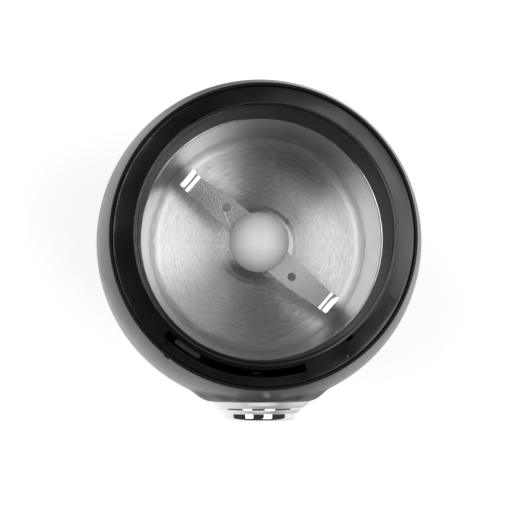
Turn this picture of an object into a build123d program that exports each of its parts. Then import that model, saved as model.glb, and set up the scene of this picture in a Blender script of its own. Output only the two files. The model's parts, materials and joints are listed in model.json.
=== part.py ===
from build123d import *
from math import cos, degrees, radians, sin, sqrt
import os

# Electric spice grinder with its lid off, in millimetres.
# +Z is up, the power button faces -Y, and the drive shaft turns on the Z axis.
# The origin is where that axis meets the surface that the grinder stands on.

# ---------------------------------------------------------------- driving dimensions

# Clearances
slip_gap = 0.2            # between fixed parts that are pushed together
guide_gap = 0.3           # between sliding plastic parts
running_gap = 0.04        # between the shaft and its bearings
free_gap = 1.5            # between spinning parts and what stands still

# Body shell
belly_room = 11.6         # from the outside of the carrier out to the belly
belly_height = 72.0
base_taper = 5.0          # the foot of the shell is this much smaller in radius than the belly
shell_wall = 2.0
ledge_reach = 5.0         # from the outside of the carrier out to the seam
shell_edge = 0.8          # what is left of the wall outside the seam
shell_edge_round = 0.6
seam_drop = 10.3          # from the lip of the neck down to the seam

# Base
foot_height = 2.0
foot_sink = 1.0
foot_set_in = 8.8         # from the edge of the shell in to the foot ring
foot_width = 4.2
base_plate_thickness = 3.0
base_plate_step = 1.5
base_screw_set_in = 5.4   # from the edge of the shell in to the base screws
base_screw_radius = 1.5
base_screw_length = 12.0
base_boss_radius = 3.0
base_boss_height = 16.0
screw_head_height = 1.6
screw_head_overhang = 0.9
vent_count = 12
vent_width = 2.5
vent_inner_radius = 11.0
vent_outer_radius = 25.0

# Cord inlet
inlet_height = 14.0
inlet_bore = 3.0
inlet_wall = 1.5
inlet_flange_radius = 6.2
inlet_flange = 1.8

# Motor
shaft_radius = 3.0
shaft_chamfer = 0.7
bearing_radius = 6.0
bearing_height = 6.0
motor_lift = 4.0          # from the base plate to the lower bracket
hub_radius = 9.0
hub_floor = 1.0
hub_height = 9.0
bracket_bar_drop = 2.0    # from the top of the hub to the top of the bars
bracket_bar = 4.0
bracket_bar_width = 9.0
commutator_radius = 9.0
commutator_height = 7.0
commutator_bars = 12
commutator_slit = 0.5
brush_width = 5.0
brush_height = 6.0
brush_length = 10.5
brush_gap = 0.1
holder_wall = 1.0
holder_reach = 27.0
holder_stand_off = 2.0    # from the commutator to the mouth of each brush holder
holder_seat_length = 9.0
spring_wire = 0.7
stack_height = 22.0
rotor_radius = 14.6
air_gap = 0.6
winding_overhang = 4.5
winding_sleeve = 1.0      # between the shaft and the rotor's windings
winding_round = 1.0
thrust_washer_radius = 8.0
thrust_washer_thickness = 1.0
rotor_slots = 12
rotor_slot_radius = 1.5
rotor_tooth_lip = 0.9
stator_radius = 28.0
yoke_wall = 5.4
yoke_side = 2.4           # what is left of the yoke at the two flats of the stator
pole_width = 16.0
pole_shoe = 3.0
pole_shoe_angle = 124.0
coil_angle = 116.0
motor_bolt_radius = 1.5
motor_bolt_end_gap = 4.0  # from the end of each bolt up to the carrier floor
fan_radius = 18.5
fan_height = 5.0
fan_plate = 1.0
fan_blades = 9
fan_blade_width = 1.0
fan_hub_radius = 5.5

# Carrier: the bucket that holds the motor below and the cup above
carrier_floor = 3.0
carrier_wall = 1.6
ear_radius = 2.5
ear_height = 3.0
carrier_screw_stand_off = 2.0   # from the outside of the carrier to its screws
carrier_screw_radius = 1.1
carrier_screw_length = 10.0
carrier_screw_angles = (30, 150, 210, 330)
post_radius = 2.1

# Grinding cup
cup_sheet = 0.6
cup_lift = 1.9            # from the carrier floor to the underside of the cup
cup_depth = 27.2
cup_lean = 2.3            # the cup is this much wider in radius at its mouth than at its floor
cup_corner = 3.2
cup_mouth_radius = 34.8
cup_bend = 0.5
cup_flange = 1.8
boss_radius = 10.8
boss_foot = 1.4
boss_height = 2.3
seal_radius = 6.0
seal_flange = 1.0
gasket_thickness = 0.8

# Lid seat ring
neck_wall = 1.6
neck_step = 0.5           # the neck stands this far outside the mouth of the cup
neck_height = 24.0        # from the gasket to the lip
ledge_thickness = 2.6
lug_angles = (134, 322.5)
lug_sweep_angle = 18.0
lug_reach = 1.5
lug_height = 2.0
lug_drop = 3.8            # from the lip to the top of the lugs
relief_offset_angle = -12.7     # centre of the hole beside each lug, from the lug's centre
relief_sweep_angle = 3.4
relief_width = 1.4
pad_start_angle = -16.5         # each lug's pad, from the lug's centre
pad_sweep_angle = 28.0
pad_depth = 0.3
slot_start_angle = 225.0
slot_sweep_angle = 63.0
slot_width = 2.5

# Blade and what holds it
blade_turn_angle = 139.5
blade_lift = 10.4         # from the cup's floor to the blade
blade_thickness = 1.5
blade_room = 3.3          # from the tips of the blade to the cup
blade_tip_reach = 3.8     # from the bend out to the tip
blade_tip_rise = 5.0
blade_hub_radius = 6.4
blade_hole_at = 14.2
blade_hole_offset = -1.5
blade_hole_radius = 1.25
blade_root = 7.0
blade_shoulder = 15.7
blade_lead_root = -5.0
blade_lead_shoulder = -4.75
blade_lead_tip = -3.4
blade_trail_root = 3.4
blade_trail_tip = 2.6
spacer_radius = 5.0
thread_radius = 2.5
washer_radius = 5.4
washer_thickness = 0.8
nut_across_flats = 8.0
nut_height = 3.4
thread_end = 0.8
cap_radius = 9.0
cap_side = 0.6

# Power button and its switch
button_height = 82.0
button_radius = 10.6
button_stand_out = 5.6    # from the flat that the bezel sits on to the face of the button
button_stroke = 2.5
button_round = 2.2
button_skin = 1.7
button_dish = 0.4
button_collar = 1.2         # also the thickness of the leg that works the switch
button_collar_reach = 1.1
bezel_flange = 3.7        # the bezel's flange stands this far outside its spigot
bezel_set_in = 1.7        # from the belly in to the flat that the bezel sits on
bezel_edge = 0.6
bezel_rise = 2.4
bezel_wall = 0.9
clip_width = 2.1
clip_thickness = 1.4
clip_room = 1.2           # from the front of the clip to the inside of the belly
pad_margin = 1.1          # from the bezel's flange to the edge of the flat
pad_slope = 7.4
pad_rise = 5.3
leg_width = 6.0
leg_overlap = 3.5         # the leg ends this far below the middle of the switch's plunger
button_spring_radius = 3.6
spring_seat_radius = 4.6
spring_seat_rise = 0.8
switch_width = 19.0
switch_depth = 6.0
switch_height = 12.4
switch_front = 36.2       # from the drive axis to the face of the switch
switch_plunger_radius = 1.4
switch_plunger_reach = 2.3
switch_plunger_drop = 5.5
switch_plunger_root = 1.0
switch_plunger_gap = 0.1  # around the plunger in the switch
switch_follow = 0.4       # plunger travel for each millimetre of the button's

# Lid interlock
interlock_angle = 236.0
interlock_sweep_angle = 12.0
interlock_thickness = 1.3
interlock_length = 28.2
interlock_stroke = 4.0
interlock_top_gap = 1.5
interlock_spring_closed = 3.5   # length of the spring when the plunger is all the way down
interlock_spring_radius = 1.3
guide_drop = 21.2         # from the top of the interlock plunger to its guide
guide_height = 3.0
guide_reach = 3.4
guide_side = 1.5

# Small parts on the base plate
capacitor_size = (12.0, 7.0, 12.0)
capacitor_place = (14.0, -31.0)
capacitor_round = 1.0
terminal_size = (12.0, 7.0, 8.5)
terminal_place = (-14.0, 30.0)
terminal_hole_radius = 1.3

# ---------------------------------------------------------------- heights and radii that follow

neck_inner = cup_mouth_radius + neck_step
neck_outer = neck_inner + neck_wall
carrier_inner = cup_mouth_radius + cup_sheet + 2 * slip_gap
carrier_outer = carrier_inner + carrier_wall
seam_radius = carrier_outer + ledge_reach
shell_top_radius = seam_radius + shell_edge
belly_radius = carrier_outer + belly_room
base_radius = belly_radius - base_taper
base_screw_circle = base_radius - base_screw_set_in
foot_outer_radius = base_radius - foot_set_in
foot_inner_radius = foot_outer_radius - foot_width
carrier_screw_circle = carrier_outer + carrier_screw_stand_off
cup_floor_radius = cup_mouth_radius - cup_lean
blade_radius = cup_floor_radius - blade_room
blade_bend_at = blade_radius - blade_tip_reach

base_head_radius = base_screw_radius + screw_head_overhang
base_plate_bottom = foot_height
base_plate_top = base_plate_bottom + base_plate_thickness
shell_bottom = base_plate_top + guide_gap
step_top = base_plate_top + base_plate_step

hub_bottom = base_plate_top + motor_lift
hub_top = hub_bottom + hub_height
lower_bearing_bottom = hub_bottom + hub_floor
bar_top = hub_top - bracket_bar_drop
bar_bottom = bar_top - bracket_bar
shaft_bottom = lower_bearing_bottom + guide_gap
commutator_bottom = hub_top + free_gap
commutator_top = commutator_bottom + commutator_height
brush_middle = commutator_bottom + commutator_height / 2
holder_bottom = brush_middle - brush_height / 2 - brush_gap - holder_wall
holder_start = commutator_radius + holder_stand_off
holder_seat_middle = (holder_start + holder_reach) / 2
brush_end = commutator_radius + brush_length
stack_bottom = commutator_top + winding_overhang + free_gap
stack_top = stack_bottom + stack_height
fan_bottom = stack_top + winding_overhang + free_gap
fan_top = fan_bottom + fan_height
carrier_bottom = fan_top + free_gap
carrier_floor_top = carrier_bottom + carrier_floor
motor_bolt_length = carrier_bottom - bar_bottom - motor_bolt_end_gap
cup_underside = carrier_floor_top + cup_lift
cup_floor = cup_underside + cup_sheet
boss_top = cup_floor + boss_height
seal_top = boss_top + seal_flange
spacer_bottom = seal_top + guide_gap
cup_rim = cup_floor + cup_depth
carrier_top = cup_rim - cup_sheet
gasket_top = cup_rim + gasket_thickness
lip_height = gasket_top + neck_height
seam_height = lip_height - seam_drop
ledge_bottom = seam_height - ledge_thickness
upper_bearing_bottom = carrier_floor_top - bearing_height / 2
housing_top = upper_bearing_bottom + bearing_height + hub_floor / 2

cup_flange_radius = cup_mouth_radius + cup_flange
slot_inner = neck_outer + slip_gap
slot_outer = slot_inner + slot_width
stator_bore = rotor_radius + air_gap
yoke_inner = stator_radius - yoke_wall
stator_width = 2 * (yoke_inner + yoke_side)
motor_bolt_circle = stator_radius - yoke_wall / 2
coil_inner = stator_bore + pole_shoe + slip_gap
coil_outer = yoke_inner - slip_gap
slot_circle = rotor_radius - rotor_slot_radius - rotor_tooth_lip
lower_arc_height = belly_height - shell_bottom
lower_arc_radius = (base_taper**2 + lower_arc_height**2) / (2 * base_taper)
inlet_arc_reach = sqrt(lower_arc_radius**2 - (belly_height - inlet_height) ** 2)
inlet_seat = belly_radius - lower_arc_radius + inlet_arc_reach
inlet_inner_end = inlet_seat - 2 * shell_wall
bearing_bore = shaft_radius + running_gap

blade_bottom = cup_floor + blade_lift
blade_top = blade_bottom + blade_thickness
nut_bottom = blade_top + washer_thickness
nut_top = nut_bottom + nut_height
shaft_top = nut_top + thread_end
cap_hollow_top = shaft_top + guide_gap
cap_top = blade_top + cap_side + cap_radius
cap_hollow_radius = washer_radius + slip_gap

button_bore = button_radius + guide_gap
bezel_spigot = button_bore + bezel_wall
bezel_radius = bezel_spigot + bezel_flange
bezel_seat = belly_radius - bezel_set_in
bezel_front = bezel_seat + bezel_rise
button_front = bezel_seat + button_stand_out
pad_radius = bezel_radius + pad_margin
pad_foot_radius = pad_radius + pad_slope
collar_rear = carrier_outer + button_stroke + 2 * guide_gap
collar_front = collar_rear + button_collar
bezel_inner_end = collar_front + guide_gap
clip_radius = bezel_spigot + clip_width
clip_front = sqrt((belly_radius - shell_wall) ** 2 - clip_radius**2) - clip_room
clip_rear = clip_front - clip_thickness
spring_seat_front = carrier_outer + spring_seat_rise
button_spring_end = button_front - button_skin - button_dish
dish_radius = button_radius - button_round
switch_plunger_height = carrier_bottom - switch_plunger_drop
leg_reach = button_height - switch_plunger_height + leg_overlap

interlock_inner = carrier_outer + slip_gap
interlock_outer = interlock_inner + interlock_thickness
interlock_start = interlock_angle - interlock_sweep_angle / 2
interlock_top = seam_height - interlock_top_gap
interlock_bottom = interlock_top - interlock_length
interlock_spring_length = interlock_stroke + interlock_spring_closed
interlock_seat = interlock_bottom - interlock_spring_length
guide_bottom = interlock_top - guide_drop - guide_height
guide_turn = degrees(slip_gap / interlock_inner)
guide_width = interlock_inner * radians(interlock_sweep_angle) + 2 * guide_side


# ---------------------------------------------------------------- helpers

os.makedirs("parts", exist_ok=True)


def write_part(part, name):
    """Label one finished piece and write it as its own STEP file."""
    part.label = name
    export_step(part, f"parts/{name}.step")


def polar(radius, angle):
    """The X and Y of a point at an angle in degrees about the drive axis."""
    return (radius * cos(radians(angle)), radius * sin(radians(angle)))


def turned_plane(angle, height):
    """A level plane whose own X points outward at an angle about the drive axis."""
    return Plane(origin=(0, 0, height), x_dir=(*polar(1, angle), 0), z_dir=(0, 0, 1))


def tube(inner, outer, bottom, height, mode=Mode.ADD):
    """Add or cut a tube on the drive axis; an inner radius of 0 makes it a disc."""
    with BuildSketch(Plane.XY.offset(bottom)) as section:
        Circle(outer)
        if inner > 0:
            Circle(inner, mode=Mode.SUBTRACT)
    extrude(section.sketch, amount=height, mode=mode)


def tube_sector(inner, outer, start, span, bottom, height, mode=Mode.ADD):
    """Add or cut part of a tube on the drive axis, from a start angle through a span."""
    with BuildSketch(Plane.XY.offset(bottom)) as section:
        with BuildLine():
            outside = CenterArc((0, 0), outer, start, span)
            inside = CenterArc((0, 0), inner, start, span)
            Line(outside @ 0, inside @ 0)
            Line(outside @ 1, inside @ 1)
        make_face()
    extrude(section.sketch, amount=height, mode=mode)


def front_plane(distance):
    """The upright plane across the button's axis, at a distance in front of the drive axis."""
    return Plane(origin=(0, -distance, button_height), x_dir=(1, 0, 0), z_dir=(0, -1, 0))


def front_tube(inner, outer, near, far, mode=Mode.ADD):
    """Add or cut a tube on the button's axis, between two distances from the drive axis."""
    with BuildSketch(front_plane(near)) as section:
        Circle(outer)
        if inner > 0:
            Circle(inner, mode=Mode.SUBTRACT)
    extrude(section.sketch, amount=far - near, mode=mode)


def rear_disc(radius, near, far, mode=Mode.ADD):
    """Add or cut a disc on the cord inlet's axis, between two distances from the drive axis."""
    plane = Plane(origin=(0, near, inlet_height), x_dir=(1, 0, 0), z_dir=(0, 1, 0))
    with BuildSketch(plane) as section:
        Circle(radius)
    extrude(section.sketch, amount=far - near, mode=mode)


button_axis = Axis((0, 0, button_height), (0, -1, 0))

# ---------------------------------------------------------------- outer shell

# A solid barrel, less a hollow that leaves the base screw bosses standing on the wall.
with BuildPart() as shell_hollow:
    with BuildSketch(Plane.XZ):
        with BuildLine():
            low = TangentArc(
                (belly_radius - shell_wall, belly_height),
                (base_radius - shell_wall, shell_bottom),
                tangent=(0, -1),
            )
            high = TangentArc(
                (belly_radius - shell_wall, belly_height),
                (shell_top_radius - shell_wall, seam_height),
                tangent=(0, 1),
            )
            Polyline(low @ 1, (0, shell_bottom), (0, seam_height), high @ 1)
        make_face()
    revolve(axis=Axis.Z)
    with BuildSketch(Plane.XY.offset(step_top)):
        with PolarLocations(base_screw_circle, 4, start_angle=45):
            Circle(base_boss_radius)
            with Locations((base_boss_radius, 0)):
                Rectangle(2 * base_boss_radius, base_boss_radius)
    extrude(amount=base_boss_height, mode=Mode.SUBTRACT)

with BuildPart() as outer_shell:
    with BuildSketch(Plane.XZ):
        with BuildLine():
            low = TangentArc((belly_radius, belly_height), (base_radius, shell_bottom), tangent=(0, -1))
            high = TangentArc(
                (belly_radius, belly_height), (shell_top_radius, seam_height), tangent=(0, 1)
            )
            Polyline(low @ 1, (0, shell_bottom), (0, seam_height), high @ 1)
        make_face()
    revolve(axis=Axis.Z)
    fillet(outer_shell.edges().group_by(Axis.Z)[-1], shell_edge_round)
    # The swelling around the button
    with BuildSketch(front_plane(bezel_seat - pad_rise)):
        Circle(pad_foot_radius)
    with BuildSketch(front_plane(bezel_seat)):
        Circle(pad_radius)
    loft()
    add(shell_hollow.part, mode=Mode.SUBTRACT)
    # Rebate for the lid seat ring
    tube(0, seam_radius, ledge_bottom, ledge_thickness, Mode.SUBTRACT)
    # The flat that the bezel sits on, and the hole that its spigot goes through
    front_tube(0, bezel_radius + slip_gap, bezel_seat, bezel_seat + pad_rise, Mode.SUBTRACT)
    front_tube(0, bezel_spigot + slip_gap, carrier_outer, bezel_front, Mode.SUBTRACT)
    # Pilot holes for the base screws
    with BuildSketch(Plane.XY.offset(step_top)):
        with PolarLocations(base_screw_circle, 4, start_angle=45):
            Circle(base_screw_radius)
    extrude(amount=base_screw_length, mode=Mode.SUBTRACT)
    # The cord inlet's hole, with a flat around it
    rear_disc(inlet_bore + inlet_wall, 0, belly_radius, Mode.SUBTRACT)
    rear_disc(inlet_flange_radius + slip_gap, inlet_seat, inlet_seat + inlet_flange, Mode.SUBTRACT)
write_part(outer_shell.part, "outer_shell")

# ---------------------------------------------------------------- base

with BuildPart() as base_plate:
    tube(0, base_radius - guide_gap, base_plate_bottom, base_plate_thickness)
    chamfer(base_plate.edges().group_by(Axis.Z)[0], foot_sink / 2)
    tube(0, base_radius - shell_wall - guide_gap, base_plate_top, base_plate_step)
    tube(foot_inner_radius, foot_outer_radius, base_plate_bottom, foot_sink, Mode.SUBTRACT)
    # Countersunk seats and through holes for the base screws
    with Locations(Plane.XY.offset(base_plate_bottom)):
        with PolarLocations(base_screw_circle, 4, start_angle=45):
            Cylinder(base_head_radius + slip_gap, screw_head_height, mode=Mode.SUBTRACT,
                     align=(Align.CENTER, Align.CENTER, Align.MIN))
            Cylinder(base_screw_radius + slip_gap, base_plate_thickness + base_plate_step,
                     mode=Mode.SUBTRACT, align=(Align.CENTER, Align.CENTER, Align.MIN))
    # Air vents under the motor
    with BuildSketch(Plane.XY.offset(base_plate_bottom)):
        with PolarLocations((vent_inner_radius + vent_outer_radius) / 2, vent_count):
            SlotOverall(vent_outer_radius - vent_inner_radius, vent_width)
    extrude(amount=base_plate_thickness + base_plate_step, mode=Mode.SUBTRACT)
write_part(base_plate.part, "base_plate")

with BuildPart() as foot_ring:
    tube(foot_inner_radius, foot_outer_radius, 0, foot_height + foot_sink)
write_part(foot_ring.part, "foot_ring")

with BuildPart() as base_screws:
    with Locations(Plane.XY.offset(base_plate_bottom)):
        with PolarLocations(base_screw_circle, 4, start_angle=45):
            Cylinder(base_head_radius, screw_head_height, align=(Align.CENTER, Align.CENTER, Align.MIN))
            Cylinder(base_screw_radius, base_screw_length, align=(Align.CENTER, Align.CENTER, Align.MIN))
write_part(base_screws.part, "base_screws")

with BuildPart() as cord_inlet:
    rear_disc(inlet_bore + inlet_wall, inlet_inner_end, inlet_seat)
    rear_disc(inlet_flange_radius, inlet_seat, inlet_seat + inlet_flange)
    rear_disc(inlet_bore, inlet_inner_end, inlet_seat + inlet_flange, Mode.SUBTRACT)
write_part(cord_inlet.part, "cord_inlet")

# ---------------------------------------------------------------- motor bracket and bearings

with BuildPart() as lower_bracket:
    tube(0, hub_radius, hub_bottom, hub_height)
    with BuildSketch(Plane.XY.offset(bar_bottom)):
        Rectangle(2 * holder_reach, bracket_bar_width)
        Rectangle(bracket_bar_width, 2 * motor_bolt_circle)
        with Locations((0, motor_bolt_circle), (0, -motor_bolt_circle)):
            Circle(bracket_bar_width / 2)
    extrude(amount=bracket_bar)
    # Spacers that lift the stator off the bars
    with BuildSketch(Plane.XY.offset(bar_top)):
        with Locations((0, motor_bolt_circle), (0, -motor_bolt_circle)):
            Circle(yoke_wall / 2)
    extrude(amount=stack_bottom - bar_top)
    # Seats for the brush holders
    with BuildSketch(Plane.XY.offset(bar_top)):
        with Locations((holder_seat_middle, 0), (-holder_seat_middle, 0)):
            Rectangle(holder_seat_length, brush_width + 2 * holder_wall)
    extrude(amount=holder_bottom - bar_top)
    with BuildSketch(Plane.XY.offset(bar_bottom)):
        with Locations((0, motor_bolt_circle), (0, -motor_bolt_circle)):
            Circle(motor_bolt_radius + slip_gap)
    extrude(amount=stack_bottom - bar_bottom, mode=Mode.SUBTRACT)
    tube(0, bearing_radius, lower_bearing_bottom, hub_height, Mode.SUBTRACT)
write_part(lower_bracket.part, "lower_bracket")

for name, bottom in (("lower_bearing", lower_bearing_bottom), ("upper_bearing", upper_bearing_bottom)):
    with BuildPart() as bearing:
        tube(bearing_bore, bearing_radius, bottom, bearing_height)
    write_part(bearing.part, name)

# ---------------------------------------------------------------- stator

with BuildPart() as stator_core:
    with BuildSketch(Plane.XY.offset(stack_bottom)):
        Circle(stator_radius)
        Rectangle(stator_width, 2 * stator_radius, mode=Mode.INTERSECT)
        Circle(yoke_inner, mode=Mode.SUBTRACT)
        Rectangle(pole_width, 2 * yoke_inner + yoke_wall / 2)
    extrude(amount=stack_height)
    for pole_angle in (90, -90):
        shoe_start = pole_angle - pole_shoe_angle / 2
        tube_sector(stator_bore, stator_bore + pole_shoe, shoe_start, pole_shoe_angle, stack_bottom,
                    stack_height)
    tube(0, stator_bore, stack_bottom, stack_height, Mode.SUBTRACT)
    with BuildSketch(Plane.XY.offset(stack_bottom)):
        with Locations((0, motor_bolt_circle), (0, -motor_bolt_circle)):
            Circle(motor_bolt_radius + slip_gap)
    extrude(amount=stack_height, mode=Mode.SUBTRACT)
write_part(stator_core.part, "stator_core")

for name, pole_angle in (("field_coil_rear", 90), ("field_coil_front", -90)):
    with BuildPart() as field_coil:
        tube_sector(coil_inner, coil_outer, pole_angle - coil_angle / 2, coil_angle,
                    stack_bottom - winding_overhang, stack_height + 2 * winding_overhang)
        with BuildSketch(Plane.XY.offset(stack_bottom - slip_gap)):
            Rectangle(pole_width + 2 * slip_gap, 2 * stator_radius)
        extrude(amount=stack_height + 2 * slip_gap, mode=Mode.SUBTRACT)
    write_part(field_coil.part, name)

with BuildPart() as motor_bolts:
    with Locations(Plane.XY.offset(bar_bottom)):
        with Locations((0, motor_bolt_circle), (0, -motor_bolt_circle)):
            Cylinder(motor_bolt_radius + screw_head_overhang, screw_head_height,
                     align=(Align.CENTER, Align.CENTER, Align.MAX))
            Cylinder(motor_bolt_radius, motor_bolt_length, align=(Align.CENTER, Align.CENTER, Align.MIN))
write_part(motor_bolts.part, "motor_bolts")

# ---------------------------------------------------------------- brush gear

for name, side in (("right", 1), ("left", -1)):
    side_plane = Plane(origin=(0, 0, brush_middle), x_dir=(0, side, 0), z_dir=(side, 0, 0))
    with BuildPart() as brush_holder:
        with BuildSketch(side_plane.offset(holder_start)):
            Rectangle(brush_width + 2 * brush_gap + 2 * holder_wall,
                      brush_height + 2 * brush_gap + 2 * holder_wall)
        extrude(amount=holder_reach - holder_start)
        with BuildSketch(side_plane.offset(holder_start)):
            Rectangle(brush_width + 2 * brush_gap, brush_height + 2 * brush_gap)
        extrude(amount=holder_reach - holder_wall - holder_start, mode=Mode.SUBTRACT)
    write_part(brush_holder.part, f"brush_holder_{name}")

    with BuildPart() as carbon_brush:
        with BuildSketch(side_plane):
            Rectangle(brush_width, brush_height)
        extrude(amount=brush_end)
        tube(0, commutator_radius + brush_gap, commutator_bottom, commutator_height, Mode.SUBTRACT)
    write_part(carbon_brush.part, f"carbon_brush_{name}")

    with BuildPart() as brush_spring:
        with BuildSketch(side_plane.offset(brush_end)):
            Circle(brush_width / 2 - brush_gap)
            Circle(brush_width / 2 - brush_gap - spring_wire, mode=Mode.SUBTRACT)
        extrude(amount=holder_reach - holder_wall - brush_end)
    write_part(brush_spring.part, f"brush_spring_{name}")

# ---------------------------------------------------------------- rotor

with BuildPart() as drive_shaft:
    tube(0, shaft_radius, shaft_bottom, blade_bottom - shaft_bottom)
    tube(0, thread_radius, blade_bottom, shaft_top - blade_bottom)
    chamfer(drive_shaft.edges().group_by(Axis.Z)[-1], shaft_chamfer)
write_part(drive_shaft.part, "drive_shaft")

with BuildPart() as commutator:
    tube(shaft_radius, commutator_radius, commutator_bottom, commutator_height)
    with BuildSketch(Plane.XY.offset(commutator_bottom)):
        with PolarLocations(commutator_radius, commutator_bars, start_angle=180 / commutator_bars):
            Rectangle(2 * commutator_slit, commutator_slit)
    extrude(amount=commutator_height, mode=Mode.SUBTRACT)
write_part(commutator.part, "commutator")

with BuildPart() as thrust_washer:
    tube(shaft_radius, thrust_washer_radius, commutator_bottom - thrust_washer_thickness,
         thrust_washer_thickness)
write_part(thrust_washer.part, "thrust_washer")

with BuildPart() as rotor_core:
    tube(shaft_radius, rotor_radius, stack_bottom, stack_height)
    with BuildSketch(Plane.XY.offset(stack_bottom)):
        with PolarLocations(slot_circle, rotor_slots):
            Circle(rotor_slot_radius)
            with Locations((rotor_slot_radius, 0)):
                Rectangle(2 * rotor_slot_radius, rotor_slot_radius)
    extrude(amount=stack_height, mode=Mode.SUBTRACT)
write_part(rotor_core.part, "rotor_core")

with BuildPart() as rotor_windings:
    for end_bottom in (stack_bottom - winding_overhang, stack_top):
        tube(shaft_radius + winding_sleeve, slot_circle + rotor_slot_radius, end_bottom,
             winding_overhang)
    fillet(rotor_windings.edges().filter_by(GeomType.CIRCLE).group_by(SortBy.RADIUS)[-1],
           winding_round)
    with BuildSketch(Plane.XY.offset(stack_bottom)):
        with PolarLocations(slot_circle, rotor_slots):
            Circle(rotor_slot_radius)
    extrude(amount=stack_height)
write_part(rotor_windings.part, "rotor_windings")

with BuildPart() as cooling_fan:
    tube(shaft_radius, fan_hub_radius, fan_bottom, fan_height)
    tube(shaft_radius, fan_radius, fan_top - fan_plate, fan_plate)
    # Each blade starts inside the hub and ends one blade width short of the rim
    with BuildSketch(Plane.XY.offset(fan_bottom)):
        with PolarLocations((fan_hub_radius + fan_radius) / 2 - fan_blade_width, fan_blades):
            Rectangle(fan_radius - fan_hub_radius, fan_blade_width)
    extrude(amount=fan_height - fan_plate)
write_part(cooling_fan.part, "cooling_fan")

# ---------------------------------------------------------------- carrier for the motor and the cup

with BuildPart() as motor_carrier:
    tube(0, carrier_outer, carrier_bottom, carrier_top - carrier_bottom)
    tube(0, carrier_inner, carrier_floor_top, carrier_top - carrier_floor_top, Mode.SUBTRACT)
    # Ears that the screws pull up against the posts of the lid seat ring
    with BuildSketch(Plane.XY.offset(carrier_top - ear_height)):
        for angle in carrier_screw_angles:
            with Locations(polar(carrier_screw_circle, angle)):
                Circle(ear_radius)
        Circle(carrier_inner, mode=Mode.SUBTRACT)
    extrude(amount=ear_height)
    # Housing of the upper bearing
    tube(0, hub_radius, carrier_floor_top, housing_top - carrier_floor_top)
    # Posts that the stator is bolted up against
    with BuildSketch(Plane.XY.offset(stack_top)):
        with Locations((0, motor_bolt_circle), (0, -motor_bolt_circle)):
            Circle(yoke_wall / 2)
    extrude(amount=carrier_bottom - stack_top)
    # Seat of the button's spring
    front_tube(0, spring_seat_radius, carrier_inner, spring_seat_front)
    # Guide and spring seat of the interlock plunger
    with BuildSketch(turned_plane(interlock_angle, guide_bottom)):
        with Locations((carrier_inner, 0)):
            Rectangle(carrier_wall + guide_reach, guide_width, align=(Align.MIN, Align.CENTER))
    extrude(amount=guide_height)
    with BuildSketch(turned_plane(interlock_angle, interlock_seat)):
        with Locations((carrier_inner, 0)):
            Rectangle(carrier_wall + guide_reach, guide_width, align=(Align.MIN, Align.CENTER))
    extrude(amount=-guide_height)
    tube_sector(interlock_inner - slip_gap, interlock_outer + slip_gap, interlock_start - guide_turn,
                interlock_sweep_angle + 2 * guide_turn, guide_bottom, guide_height, Mode.SUBTRACT)
    # Bolt, screw and bearing holes
    with BuildSketch(Plane.XY.offset(stack_top)):
        with Locations((0, motor_bolt_circle), (0, -motor_bolt_circle)):
            Circle(motor_bolt_radius)
    extrude(amount=bar_bottom + motor_bolt_length - stack_top, mode=Mode.SUBTRACT)
    with BuildSketch(Plane.XY.offset(carrier_top - ear_height)):
        for angle in carrier_screw_angles:
            with Locations(polar(carrier_screw_circle, angle)):
                Circle(carrier_screw_radius + slip_gap)
    extrude(amount=ear_height, mode=Mode.SUBTRACT)
    tube(0, bearing_radius, upper_bearing_bottom, housing_top - upper_bearing_bottom, Mode.SUBTRACT)
    tube(0, shaft_radius + free_gap, carrier_bottom, carrier_floor, Mode.SUBTRACT)
write_part(motor_carrier.part, "motor_carrier")

with BuildPart() as carrier_screws:
    for angle in carrier_screw_angles:
        with Locations(Location((*polar(carrier_screw_circle, angle), carrier_top - ear_height))):
            Cylinder(carrier_screw_radius + screw_head_overhang, screw_head_height,
                     align=(Align.CENTER, Align.CENTER, Align.MAX))
            Cylinder(carrier_screw_radius, carrier_screw_length,
                     align=(Align.CENTER, Align.CENTER, Align.MIN))
write_part(carrier_screws.part, "carrier_screws")

# ---------------------------------------------------------------- grinding cup

with BuildPart() as grinding_cup:
    with BuildSketch(Plane.XZ):
        with BuildLine() as cup_skin:
            FilletPolyline(
                (seal_radius, boss_top),
                (boss_radius, boss_top),
                (boss_radius + boss_foot, cup_floor),
                (cup_floor_radius, cup_floor),
                (cup_mouth_radius, cup_rim),
                (cup_flange_radius, cup_rim),
                radius=[cup_bend, cup_bend, cup_corner, cup_bend],
            )
            offset(amount=cup_sheet, side=Side.RIGHT)
        make_face()
    revolve(axis=Axis.Z)
write_part(grinding_cup.part, "grinding_cup")

with BuildPart() as cup_gasket:
    tube(neck_inner, cup_flange_radius, cup_rim, gasket_thickness)
write_part(cup_gasket.part, "cup_gasket")

with BuildPart() as shaft_seal:
    tube(0, seal_radius, housing_top, boss_top - housing_top)
    tube(0, seal_radius + seal_flange, boss_top, seal_flange)
    tube(0, shaft_radius + 2 * running_gap, housing_top, seal_top - housing_top, Mode.SUBTRACT)
write_part(shaft_seal.part, "shaft_seal")

# ---------------------------------------------------------------- lid seat ring

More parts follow.
